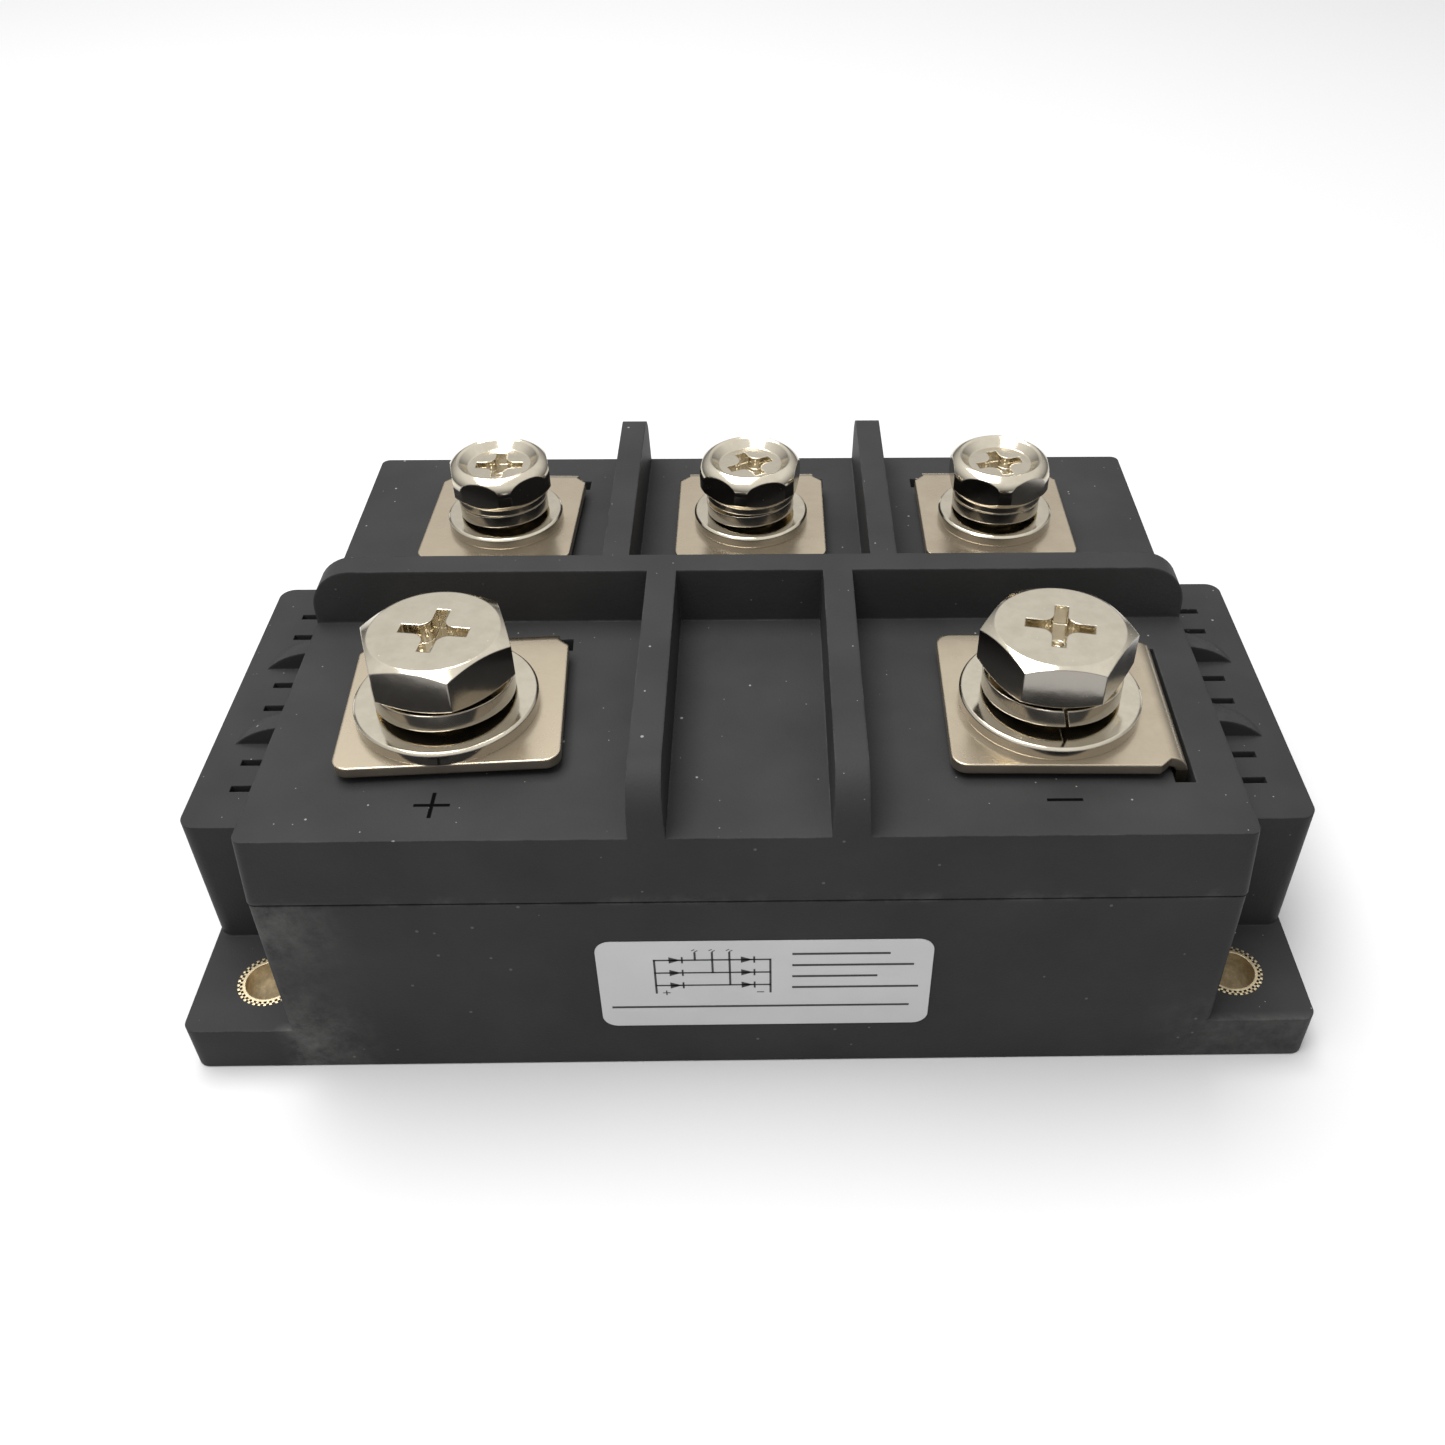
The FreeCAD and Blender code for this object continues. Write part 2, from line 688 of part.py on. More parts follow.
ac_turns = {
    "left": {"head_turn": -17.0, "cross_turn": 0.0, "split_turn": 150.0, "raised_turn": -60.0},
    "middle": {"head_turn": 20.0, "cross_turn": 27.0, "split_turn": 120.0, "raised_turn": -30.0},
    "right": {"head_turn": 30.0, "cross_turn": 15.0, "split_turn": 100.0, "raised_turn": -90.0},
}
for phase, turns in ac_turns.items():
    terminals["ac_" + phase] = {
        "x": phase_x[phase], "y": ac_terminal_y, "heading": 90.0, "screw": ac_screw,
        "free_reach": ac_free_reach, "leg_reach": ac_leg_reach, "width": ac_strap_width,
        "shift": 0.0, "foot_y": 0.0, "foot_level": tile_top, "foot_reach": ac_foot_reach,
        "foot_outward": False, **turns}
terminals["ac_left"]["heading"] += ac_left_turn
terminals["ac_left"]["shift"] = ac_left_side_shift

save("housing", make_housing())
save("cover", make_cover())
base_plate = make_base_plate()
save("base_plate", base_plate)
for name, (x, y) in zip(("front_left", "front_right", "rear_left", "rear_right"), mount_places()):
    save("mounting_bush_" + name, make_bush(x, y))

inside = []
for phase, x in phase_x.items():
    tile = make_tile(x)
    save("ceramic_tile_" + phase, tile)
    upper_diode = make_diode(x, upper_diode_y)
    lower_diode = make_diode(x, lower_diode_y)
    save("upper_diode_" + phase, upper_diode)
    save("lower_diode_" + phase, lower_diode)
    inside += [tile, upper_diode, lower_diode]
for name, y in (("plus", upper_diode_y), ("minus", lower_diode_y)):
    busbar = make_busbar(y)
    save(name + "_busbar", busbar)
    inside.append(busbar)
for name, terminal in terminals.items():
    strap = make_strap(terminal)
    save(name + "_terminal", strap)
    inside.append(strap)
save("potting", make_potting(inside))

for name, terminal in terminals.items():
    screw = terminal["screw"]
    x, y = terminal["x"], terminal["y"]
    if screw is dc_screw:
        nut = make_nut(dc_nut_flats, dc_nut_height, dc_thread_radius + thread_clearance)
        washer = make_flat_washer(dc_washer_radius, dc_washer_bore, dc_washer_thickness)
        spring = make_spring_washer(dc_spring_radius, dc_spring_bore, dc_spring_thickness, dc_spring_rise,
                                    terminal["split_turn"], terminal["raised_turn"])
        bolt = make_dc_screw(terminal["cross_turn"] - terminal["head_turn"])
    else:
        nut = make_nut(ac_nut_flats, ac_nut_height, ac_thread_radius + thread_clearance)
        washer = make_flat_washer(ac_washer_radius, ac_washer_bore, ac_washer_thickness)
        spring = make_spring_washer(ac_spring_radius, ac_spring_bore, ac_spring_thickness, ac_spring_rise,
                                    terminal["split_turn"], terminal["raised_turn"])
        bolt = make_ac_screw(terminal["cross_turn"] - terminal["head_turn"])
    save(name + "_nut", placed(nut, x, y, nut_top - screw["nut_height"], screw["nut_turn"]))
    save(name + "_flat_washer", placed(washer, x, y, screw["washer_seat"]))
    save(name + "_spring_washer", placed(spring, x, y, screw["spring_seat"]))
    save(name + "_screw", placed(bolt, x, y, screw["seat"], terminal["head_turn"]))
save("rating_label", make_label())
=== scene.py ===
import bmesh
import bpy
import math
from mathutils import Matrix, Vector


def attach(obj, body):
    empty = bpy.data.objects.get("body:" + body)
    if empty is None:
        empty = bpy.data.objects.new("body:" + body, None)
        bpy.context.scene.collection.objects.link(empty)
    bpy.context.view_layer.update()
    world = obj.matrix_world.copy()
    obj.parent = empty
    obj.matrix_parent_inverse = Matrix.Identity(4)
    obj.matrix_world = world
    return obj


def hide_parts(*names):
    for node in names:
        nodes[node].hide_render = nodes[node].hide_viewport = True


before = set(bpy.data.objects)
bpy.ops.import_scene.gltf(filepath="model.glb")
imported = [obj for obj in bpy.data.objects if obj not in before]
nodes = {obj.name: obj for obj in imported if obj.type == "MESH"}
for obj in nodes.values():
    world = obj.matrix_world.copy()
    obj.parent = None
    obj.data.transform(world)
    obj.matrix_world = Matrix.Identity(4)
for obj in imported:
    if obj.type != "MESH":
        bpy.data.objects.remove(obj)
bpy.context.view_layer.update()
scene = bpy.context.scene
mm = 0.001
print("frame loaded:", len(nodes), "nodes")


# Camera at the photograph's place, with its long lens and a small sideways shift

camera = {
    "place": (2.32, -158.70, 159.05),
    "right": (0.999841, -0.017283, 0.004390),
    "down": (-0.007902, -0.650154, -0.759761),
    "ahead": (0.015985, 0.759606, -0.650188),
    "lens": 34.5404,
    "shiftX": -0.04671,
}


def makeCamera(spec):
    data = bpy.data.cameras.new("camera")
    data.lens = spec["lens"]
    data.sensor_width = 36.0
    data.shift_x = spec["shiftX"]
    data.clip_start = 0.01
    eye = bpy.data.objects.new("camera", data)
    columns = [Vector(spec["right"]), -Vector(spec["down"]), -Vector(spec["ahead"])]
    turn = Matrix(columns).transposed().to_4x4()
    eye.matrix_world = Matrix.Translation(Vector(spec["place"]) * mm) @ turn
    scene.collection.objects.link(eye)
    scene.camera = eye


makeCamera(camera)


# One socket of a tree of nodes, so that its maths reads as Python
class Value:
    def __init__(self, maker, socket):
        self.maker = maker
        self.socket = socket

    def maths(self, operation, *others):
        values = dict(enumerate((self,) + others))
        return self.maker.node("ShaderNodeMath", {"operation": operation}, values)

    def __add__(self, other):
        return self.maths("ADD", other)

    __radd__ = __add__

    def __mul__(self, other):
        return self.maths("MULTIPLY", other)

    __rmul__ = __mul__

    def __sub__(self, other):
        return self.maths("SUBTRACT", other)

    def __rsub__(self, other):
        return (self * -1.0) + other

    def __truediv__(self, other):
        return self.maths("DIVIDE", other)

    def __abs__(self):
        return self.maths("ABSOLUTE")

    def __lt__(self, other):
        return self.maths("LESS_THAN", other)

    def __gt__(self, other):
        return self.maths("GREATER_THAN", other)

    def clipped(self):
        return self.maker.node("ShaderNodeClamp", {}, {0: self})

    def least(self, other):
        return self.maths("MINIMUM", other)

    def most(self, other):
        return self.maths("MAXIMUM", other)


# Anything made of nodes: one method makes every node
class Maker:
    def node(self, kind, settings=None, values=None, out=0):
        made = self.tree.nodes.new(kind)
        for name, setting in (settings or {}).items():
            setattr(made, name, setting)
        for name, value in (values or {}).items():
            self.feed(made.inputs[name], value)
        return Value(self, made.outputs[out])

    def feed(self, socket, value):
        if isinstance(value, Value):
            self.tree.links.new(value.socket, socket)
        else:
            socket.default_value = value

    def parts(self, vector):
        split = self.tree.nodes.new("ShaderNodeSeparateXYZ")
        self.feed(split.inputs[0], vector)
        return [Value(self, out) for out in split.outputs]

    def between(self, value, low, high):
        return ((value - low) / (high - low)).clipped()


# Floor and studio light: a large lamp overhead under a sky that darkens towards the horizon

studio = {
    "floorColour": (0.58, 0.58, 0.58, 1),
    "floorSize": 6.0,
    "floorLevel": -0.2,
    "floorRoughness": 0.9,
    "lampPlace": (-0.20, 0.03, 0.88),
    "lampSize": (0.9, 0.5),
    "lampWatts": 11.5,
    "skyLow": 0.12,
    "skyHigh": 0.95,
    "skyTurn": (0.0, 0.7),
}


def makeFloor(spec):
    half = spec["floorSize"] / 2
    corners = [(-half, -half, 0), (half, -half, 0), (half, half, 0), (-half, half, 0)]
    mesh = bpy.data.meshes.new("floor")
    mesh.from_pydata(corners, [], [(0, 1, 2, 3)])
    floor = bpy.data.objects.new("floor", mesh)
    floor.location.z = spec["floorLevel"] * mm
    scene.collection.objects.link(floor)
    paint = bpy.data.materials.new("floor")
    paint.use_nodes = True
    shader = paint.node_tree.nodes["Principled BSDF"]
    shader.inputs["Base Color"].default_value = spec["floorColour"]
    shader.inputs["Roughness"].default_value = spec["floorRoughness"]
    mesh.materials.append(paint)


def makeLamp(name, place, aim, size, watts):
    data = bpy.data.lights.new(name, "AREA")
    data.shape = "RECTANGLE"
    data.size, data.size_y = size
    data.energy = watts
    lamp = bpy.data.objects.new(name, data)
    lamp.location = place
    lamp.rotation_euler = (Vector(aim) - Vector(place)).to_track_quat("-Z", "Y").to_euler()
    scene.collection.objects.link(lamp)


class Sky(Maker):
    def __init__(self, spec):
        world = bpy.data.worlds.new("studio")
        world.use_nodes = True
        self.tree = world.node_tree
        up = self.parts(self.node("ShaderNodeTexCoord", out="Generated"))[2]
        share = self.between(up, *spec["skyTurn"])
        strength = spec["skyLow"] + (spec["skyHigh"] - spec["skyLow"]) * share
        sky = self.tree.nodes["Background"]
        sky.inputs["Color"].default_value = (1, 1, 1, 1)
        self.feed(sky.inputs["Strength"], strength)
        scene.world = world


makeFloor(studio)
makeLamp("overheadLamp", studio["lampPlace"], (0, 0, 0), studio["lampSize"], studio["lampWatts"])
Sky(studio)
scene.view_settings.view_transform = "Standard"
print("stage ready")


# A material under construction, with its shader and the places on the piece in millimetres
class Finish(Maker):
    def __init__(self, name, surface):
        self.material = bpy.data.materials.new(name)
        self.material.use_nodes = True
        self.tree = self.material.node_tree
        self.shader = self.tree.nodes["Principled BSDF"]
        for socket, value in surface.items():
            self.shader.inputs[socket].default_value = value
        place = self.node("ShaderNodeTexCoord", out="Object")
        self.place = self.node("ShaderNodeVectorMath", {"operation": "SCALE"}, {0: place, "Scale": 1 / mm})
        self.x, self.y, self.z = self.parts(self.place)

    def noise(self, size, detail=2.0, roughness=0.5):
        values = {"Vector": self.place, "Scale": 1 / size, "Detail": detail, "Roughness": roughness}
        return self.node("ShaderNodeTexNoise", {}, values)

    def steepness(self):
        # 0 on level faces and 1 on upright ones
        return 1 - abs(self.facing())

    def facing(self):
        return self.parts(self.node("ShaderNodeNewGeometry", out="Normal"))[2]

    def blend(self, share, first, second):
        values = {0: share, 6: first, 7: second}
        return self.node("ShaderNodeMix", {"data_type": "RGBA"}, values, 2)

    def specks(self, spacing, radius, share):
        cell = self.tree.nodes.new("ShaderNodeTexVoronoi")
        cell.inputs["Scale"].default_value = 1 / spacing
        self.feed(cell.inputs["Vector"], self.place)
        away = Value(self, cell.outputs["Distance"]) * spacing
        pick, size, _ = self.parts(Value(self, cell.outputs["Color"]))
        return (away < size * radius) * (pick < share)

    def bump(self, height, depth, strength=1.0, normal=None):
        values = {"Height": height, "Distance": depth * mm, "Strength": strength}
        if normal:
            values["Normal"] = normal
        return self.node("ShaderNodeBump", {}, values)

    def rounded(self, radius):
        return self.node("ShaderNodeBevel", {"samples": 6}, {"Radius": radius * mm})

    def rims(self, rounded):
        flat = self.node("ShaderNodeNewGeometry", out="Normal")
        same = self.node("ShaderNodeVectorMath", {"operation": "DOT_PRODUCT"}, {0: rounded, 1: flat}, "Value")
        return 1 - same

    def paint(self, **links):
        names = {"colour": "Base Color", "roughness": "Roughness", "normal": "Normal", "metal": "Metallic"}
        for name, value in links.items():
            self.feed(self.shader.inputs[names[name]], value)
        return self.material


def grey(level, warmth=0.0):
    return (level * (1 + warmth), level, level * (1 - warmth), 1)


# Moulded plastic of the housing and the cover

plastic = {
    "colour": grey(0.029),
    "faded": grey(0.036),
    "dust": (0.30, 0.295, 0.285, 1),
    # rim: pale edges, partly edge wear and partly a painted highlight along the rounded edges
    "rim": grey(0.10),
    "shine": 0.06,
    "roughness": 0.50,
    "grainSize": 0.38,
    "grainDepth": 0.055,
    "edgeRadius": 0.45,
    "rimShare": 0.6,
    "scuffShare": 0.32,
    "seamShare": 0.10,
    "dustShare": 0.65,
}

# Where the body's front face is worn: from, to and how strongly, along X and up Z
scuffing = {
    "faceY": (-42.5, -43.8),
    "belowSeam": (33.0, 31.5),
    "upperZ": (19.0, 28.0),
    "lowerZ": (16.0, 8.0),
    "leftX": (-49.0, -60.0),
    "leftEndX": (-64.0, -61.0),
    "leftLeast": 0.3,
    "rightX": (52.0, 63.0),
    "rightZ": (16.0, 9.0),
    "rightShare": 0.5,
    "seamZ": 32.6,
    "seamReach": 1.4,
}

signs = {
    "plusX": -38.1,
    "minusX": 38.2,
    "y": -38.0,
    "arm": 2.15,
    "line": 0.20,
    "soft": 0.06,
    "coverTop": 43.1,
    "depth": 9.0,
}


def signMask(finish, spec):
    # engraved plus and minus on the cover in front of the direct current terminals, painted near black as
    # painted shade in their grooves
    def bar(x, y, alongX):
        halfX, halfY = (spec["arm"], spec["line"]) if alongX else (spec["line"], spec["arm"])
        inX = finish.between(halfX - abs(finish.x - x), -spec["soft"], spec["soft"])
        inY = finish.between(halfY - abs(finish.y - y), -spec["soft"], spec["soft"])
        return inX * inY
    plus = bar(spec["plusX"], spec["y"], True).most(bar(spec["plusX"], spec["y"], False))
    return plus.most(bar(spec["minusX"], spec["y"], True)) * (finish.z > spec["coverTop"] - 0.3)


def scuffMask(finish, spec, cloud):
    # pale scuffs beside the body's front left edge and a few low on its right
    streaks = finish.noise(1.6, 5.0, 0.75)
    face = finish.between(finish.y, *spec["faceY"]) * finish.between(finish.z, *spec["belowSeam"])
    ends = finish.between(finish.z, *spec["upperZ"]).most(finish.between(finish.z, *spec["lowerZ"]))
    least = spec["leftLeast"]
    left = finish.between(finish.x, *spec["leftX"]) * finish.between(finish.x, *spec["leftEndX"])
    left = left * (ends * (1 - least) + least)
    right = finish.between(finish.x, *spec["rightX"]) * finish.between(finish.z, *spec["rightZ"])
    worn = finish.between(cloud * 0.6 + streaks * 0.4, 0.38, 0.72)
    return face * left.most(right * spec["rightShare"]) * worn


def makePlastic(name, spec, withSigns):
    finish = Finish(name, {"Specular IOR Level": spec["shine"], "IOR": 1.5})
    grain = finish.noise(spec["grainSize"], 3.0, 0.6)
    pits = finish.noise(1.1, 2.0)
    broad = finish.noise(14.0, 3.0)
    cloud = finish.noise(5.0, 5.0, 0.7)
    rounded = finish.rounded(spec["edgeRadius"])
    rims = finish.between(finish.rims(rounded), 0.02, 0.25)
    scuffs = scuffMask(finish, scuffing, cloud)
    seam = finish.between(abs(finish.z - scuffing["seamZ"]), scuffing["seamReach"], 0.0)
    seam = seam * finish.between(cloud, 0.5, 0.75)
    specks = finish.specks(2.2, 0.21, 0.35).most(finish.specks(1.2, 0.11, 0.25))
    dust = specks * (finish.facing() * 0.7 + 0.3).clipped()

    colour = finish.blend(finish.between(broad, 0.35, 0.7), spec["colour"], spec["faded"])
    # pale edges: partly edge wear, partly a painted highlight where the rounded edges catch the light
    colour = finish.blend(rims * finish.between(cloud, 0.4, 0.7) * spec["rimShare"], colour, spec["rim"])
    pale = (scuffs * spec["scuffShare"]).most(seam * spec["seamShare"])
    colour = finish.blend(pale, colour, spec["dust"])
    colour = finish.blend(dust * spec["dustShare"], colour, spec["dust"])
    roughness = spec["roughness"] + (broad - 0.5) * 0.12 + scuffs * 0.2
    height = grain * 0.7 + pits * 0.3
    if withSigns:
        signGrooveAndShade = signMask(finish, signs)
        # painted shade: the engraved signs are painted near black, standing in for the shade in their grooves
        colour = finish.blend(signGrooveAndShade, colour, grey(0.001))
        roughness = roughness + signGrooveAndShade * 0.5
        height = height - signGrooveAndShade * signs["depth"]
    normal = finish.bump(height, spec["grainDepth"], 1.0, rounded)
    return finish.paint(colour=colour, roughness=roughness, normal=normal)


# Nickel plating, satin on the straps and bright on the screws and washers

satin = {
    "colour": (0.62, 0.535, 0.40, 1),
    "shade": (0.52, 0.44, 0.33, 1),
    "cut": (0.46, 0.40, 0.32, 1),
    "roughness": 0.26,
    "edge": 0.35,
    "strapBand": (43.6, 46.2),
    "noBand": (-1.0, -0.5),
}

bright = {
    "colour": (0.71, 0.65, 0.53, 1),
    "shade": (0.62, 0.56, 0.45, 1),
    # side: painted shade for the upright sides of the heads and washers
    "side": (0.36, 0.335, 0.30, 1),
    "roughness": 0.13,
    "edge": 0.25,
    "axisX": 37.7,
    "axisY": 22.05,
    "crossReach": (5.48, 6.0),
}


def makeSatin(name, spec, band):
    # the cut edges of the strip are duller, between the two heights of the band
    finish = Finish(name, {"Metallic": 1.0})
    cloud = finish.noise(6.0, 4.0, 0.6)
    grain = finish.noise(0.22, 2.0)
    rounded = finish.rounded(spec["edge"])
    cut = finish.between(finish.steepness(), 0.5, 0.9) * (finish.z > band[0]) * (finish.z < band[1])
    colour = finish.blend(finish.between(cloud, 0.35, 0.7), spec["colour"], spec["shade"])
    colour = finish.blend(cut, colour, spec["cut"])
    roughness = spec["roughness"] + (cloud - 0.5) * 0.2 + cut * 0.15
    normal = finish.bump(grain, 0.006, 0.6, rounded)
    return finish.paint(colour=colour, roughness=roughness, normal=normal)


def makeBright(name, spec):
    finish = Finish(name, {"Metallic": 1.0})
    cloud = finish.noise(3.0, 4.0, 0.6)
    ripple = finish.noise(1.6, 2.0)
    pits = finish.specks(0.9, 0.09, 0.2)
    rounded = finish.rounded(spec["edge"])
    colour = finish.blend(finish.between(cloud, 0.4, 0.75), spec["colour"], spec["shade"])
    # painted shade: the upright sides of the heads and washers, outside the driver's cross, are painted
    # darker, standing in for the dark surroundings that they reflect
    alongX = abs(finish.x).least(abs(abs(finish.x) - spec["axisX"]))
    alongY = abs(finish.y) - spec["axisY"]
    inner, outer = spec["crossReach"]
    outside = finish.between(alongX * alongX + alongY * alongY, inner * inner, outer * outer)
    sideShadeMask = finish.between(finish.steepness(), 0.75, 0.95)
    colour = finish.blend(sideShadeMask * outside, colour, spec["side"])
    roughness = spec["roughness"] + (cloud - 0.5) * 0.12 + pits * 0.2
    normal = finish.bump(ripple * 0.6 - pits * 0.3, 0.03, 0.35, rounded)
    return finish.paint(colour=colour, roughness=roughness, normal=normal)


# Brass of the bushes, film of the label and the plain finishes inside

brass = {
    "colour": (0.80, 0.67, 0.44, 1),
    "shade": (0.50, 0.41, 0.27, 1),
    "roughness": 0.42,
    "edge": 0.15,
}

film = {
    "colour": grey(0.46),
    "pale": grey(0.54),
    "roughness": 0.38,
}

inside = {
    "copper": ((0.72, 0.40, 0.26, 1), 0.35, 1.0),
    "ceramic": ((0.85, 0.84, 0.80, 1), 0.6, 0.0),
    "gel": ((0.16, 0.16, 0.15, 1), 0.3, 0.0),
    "nutSteel": (grey(0.5, 0.04), 0.3, 1.0),
    "printInk": (grey(0.02), 0.5, 0.0),
}


def makeBrass(name, spec):
    finish = Finish(name, {"Metallic": 1.0})
    cloud = finish.noise(1.5, 4.0, 0.7)
    colour = finish.blend(finish.between(cloud, 0.35, 0.7), spec["colour"], spec["shade"])
    normal = finish.bump(cloud, 0.03, 0.5, finish.rounded(spec["edge"]))
    return finish.paint(colour=colour, roughness=spec["roughness"] + (cloud - 0.5) * 0.2, normal=normal)


def makeFilm(name, spec):
    finish = Finish(name, {"Metallic": 0.0})
    cloud = finish.noise(9.0, 2.0)
    weave = finish.noise(0.3, 2.0)
    colour = finish.blend(cloud, spec["colour"], spec["pale"])
    normal = finish.bump(weave, 0.004, 0.4)
    return finish.paint(colour=colour, roughness=spec["roughness"] + (cloud - 0.5) * 0.1, normal=normal)


def makeInner(name, colour, roughness, metal):
    finish = Finish(name, {"Metallic": metal})
    cloud = finish.noise(2.0, 3.0)
    darker = tuple(0.8 * c for c in colour[:3]) + (1,)
    shade = finish.blend(cloud, colour, darker)
    normal = finish.bump(cloud, 0.02, 0.4)
    return finish.paint(colour=shade, roughness=roughness + (cloud - 0.5) * 0.1, normal=normal)


def dress(name, material):
    mesh = nodes[name].data
    mesh.materials.clear()
    mesh.materials.append(material)


housingPlastic = makePlastic("housingPlastic", plastic, False)
coverPlastic = makePlastic("coverPlastic", plastic, True)
strapNickel = makeSatin("strapNickel", satin, satin["strapBand"])
baseNickel = makeSatin("baseNickel", satin, satin["noBand"])
screwNickel = makeBright("screwNickel", bright)
bushBrass = makeBrass("bushBrass", brass)
labelFilm = makeFilm("labelFilm", film)
copper = makeInner("copper", *inside["copper"])
ceramic = makeInner("ceramic", *inside["ceramic"])
gel = makeInner("gel", *inside["gel"])
nutSteel = makeInner("nutSteel", *inside["nutSteel"])
printInk = makeInner("printInk", *inside["printInk"])

for name in nodes:
    if name == "housing":
        dress(name, housingPlastic)
    elif name == "cover":
        dress(name, coverPlastic)
    elif name.endswith("_terminal"):
        dress(name, strapNickel)
    elif name == "base_plate":
        dress(name, baseNickel)
    elif name.startswith("mounting_bush"):
        dress(name, bushBrass)
    elif name == "rating_label":
        dress(name, labelFilm)
    elif name.endswith("_nut"):
        dress(name, nutSteel)
    elif name.endswith("_busbar") or "_diode_" in name:
        dress(name, copper)
    elif name.startswith("ceramic_tile"):
        dress(name, ceramic)
    elif name == "potting":
        dress(name, gel)
    else:
        dress(name, screwNickel)
print("finishes ready")


# A geometry tree under construction, with one named input for each size
class Recipe(Maker):
    counts = ("Rings", "Sides", "Teeth")

    def __init__(self, name, labels):
        self.name = name
        self.tree = bpy.data.node_groups.new(name, "GeometryNodeTree")
        self.sockets = {}
        for label in labels:
            kind = "NodeSocketInt" if label in self.counts else "NodeSocketFloat"
            self.sockets[label] = self.tree.interface.new_socket(label, in_out="INPUT", socket_type=kind)
        self.tree.interface.new_socket("Geometry", in_out="OUTPUT", socket_type="NodeSocketGeometry")
        start = self.tree.nodes.new("NodeGroupInput")
        self.given = {label: Value(self, start.outputs[label]) for label in labels}
        self.end = self.tree.nodes.new("NodeGroupOutput")

    def place(self):
        return self.parts(self.node("GeometryNodeInputPosition"))

    def close(self, shape, material):
        real = self.node("GeometryNodeRealizeInstances", None, {0: shape})
        painted = self.node("GeometryNodeSetMaterial", None, {0: real, "Material": material})
        self.feed(self.end.inputs[0], painted)

    def made(self, name, sizes):
        # runs the tree with these sizes and keeps the result as a plain mesh
        holder = bpy.data.objects.new(name + "Holder", bpy.data.meshes.new(name + "Holder"))
        scene.collection.objects.link(holder)
        modifier = holder.modifiers.new(self.name, "NODES")
        modifier.node_group = self.tree
        for label, value in sizes.items():
            modifier[self.sockets[label].identifier] = value
        ready = holder.evaluated_get(bpy.context.evaluated_depsgraph_get())
        mesh = bpy.data.meshes.new_from_object(ready)
        bpy.data.objects.remove(holder)
        return addPiece(name, mesh)


def addPiece(name, mesh):
    mesh.name = name
    piece = bpy.data.objects.new(name, mesh)
    scene.collection.objects.link(piece)
    return piece


# Screws: the solid's own head, with a real thread below it that starts a little inside the head

threadForm = {
    "buried": 1.0,
    "flank": 2.6,
    "crest": 0.2,
    "weld": 0.01,
    "sharpAngle": 20,
}
screwSizes = {
    "direct": {"head": 6.3, "Outer": 4.9, "Depth": 0.8, "Pitch": 1.5, "Length": 20.0, "Tip": 0.9},
    "alternating": {"head": 6.0, "Outer": 3.9, "Depth": 0.67, "Pitch": 1.25, "Length": 18.0, "Tip": 0.8},
}
screwKinds = {
    "plus": "direct",
    "minus": "direct",
    "ac_left": "alternating",
    "ac_middle": "alternating",
    "ac_right": "alternating",
}
threadFineness = {"Rings": 160, "Sides": 41}


def threadRecipe(form):
    # a unit grid rolled up into the thread, whose end rows close it on the axis
    labels = ["Outer", "Depth", "Pitch", "Length", "Tip", "X", "Y", "Seat", "Rings", "Sides"]
    recipe = Recipe("thread", labels)
    g = recipe.given
    counts = {"Size X": 1.0, "Size Y": 1.0, "Vertices X": g["Rings"], "Vertices Y": g["Sides"]}
    grid = recipe.node("GeometryNodeMeshGrid", None, counts)
    along, around, _ = recipe.place()
    down = (along + 0.5) * (g["Length"] + form["buried"]) - form["buried"]
    turn = around + 0.5
    step = (down / g["Pitch"] + turn).maths("FRACT")
    tooth = ((abs(step - 0.5) * form["flank"]) - form["crest"]).clipped()
    radius = g["Outer"] - g["Depth"] * tooth
    radius = radius.least(g["Outer"] - (down - g["Length"] + g["Tip"]).most(0.0))
    inside = (abs(along) < 0.4999)
    radius = radius * inside * mm
    angle = turn * (2 * math.pi)
    x = g["X"] * mm + radius * angle.maths("COSINE")
    y = g["Y"] * mm + radius * angle.maths("SINE")
    z = (g["Seat"] - down) * mm
    spot = recipe.node("ShaderNodeCombineXYZ", None, {0: x, 1: y, 2: z})
    shape = recipe.node("GeometryNodeSetPosition", None, {"Geometry": grid, "Position": spot})
    shape = recipe.node("GeometryNodeMergeByDistance", None, {0: shape, "Distance": form["weld"] * mm})
    recipe.close(recipe.node("GeometryNodeFlipFaces", None, {0: shape}), screwNickel)
    return recipe


def spotOf(mesh):
    # the middle of a piece seen from above, and its top, in millimetres
    xs, ys, zs = zip(*(v.co for v in mesh.vertices))
    return (min(xs) + max(xs)) / 2 / mm, (min(ys) + max(ys)) / 2 / mm, max(zs) / mm


def headOnly(mesh, seat, form):
    # the CAD screw's mesh without its shank
    work = bmesh.new()
    work.from_mesh(mesh)
    bmesh.ops.remove_doubles(work, verts=work.verts, dist=1e-7)
    below = [v for v in work.verts if v.co.z < (seat - form["weld"]) * mm]
    bmesh.ops.delete(work, geom=below, context="VERTS")
    bmesh.ops.holes_fill(work, edges=work.edges, sides=0)
    work.to_mesh(mesh)
    work.free()
    if "custom_normal" in mesh.attributes:
        mesh.attributes.remove(mesh.attributes["custom_normal"])
    mesh.set_sharp_from_angle(angle=math.radians(form["sharpAngle"]))
    return mesh


def joinedPiece(name, meshes):
    whole = bmesh.new()
    for mesh in meshes:
        whole.from_mesh(mesh)
    mesh = meshes[0].copy()
    whole.to_mesh(mesh)
    whole.free()
    return addPiece(name, mesh)


